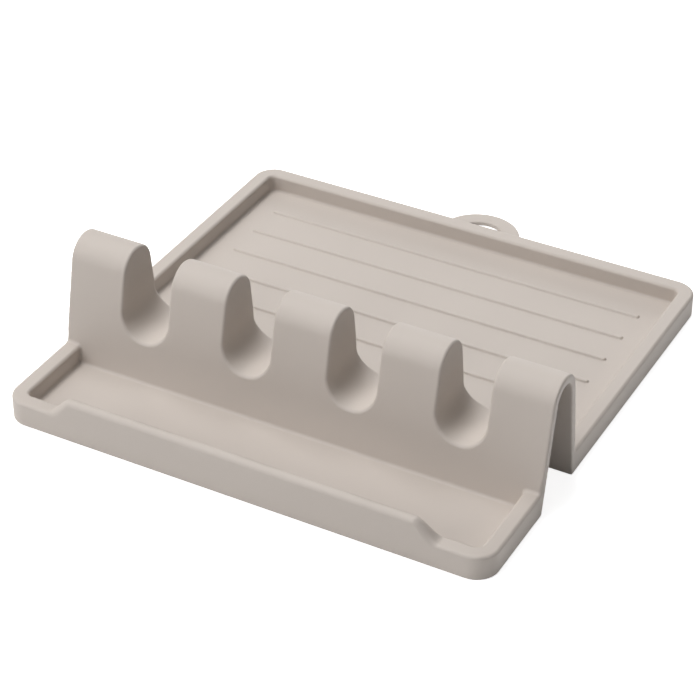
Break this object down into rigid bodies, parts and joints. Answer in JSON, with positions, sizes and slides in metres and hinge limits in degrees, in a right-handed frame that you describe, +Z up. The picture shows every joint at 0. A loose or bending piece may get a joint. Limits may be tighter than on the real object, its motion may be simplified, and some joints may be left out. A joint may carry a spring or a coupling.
{
  "type": "utensil rest",
  "caption": "Flat silicone rest: a hollow slotted ridge holds utensil handles between a lipped front trough and a ribbed drip tray, with a hanging loop behind",
  "frame": {"origin": "on the base plane, under the centre of the bounding box", "axes": "+X runs along the ridge, +Y points from the front lip to the hanging loop, +Z is up"},
  "size_m": [0.2, 0.2174, 0.0506],
  "materials": {
    "silicone": "matt moulded silicone, warm light grey"
  },
  "bodies": {
    "root": {"front_tray": "silicone", "front_lip": "silicone", "slotted_ridge": "silicone", "drip_tray": "silicone", "drip_ribs": "silicone", "hanging_loop": "silicone"}
  },
  "joints": []
}
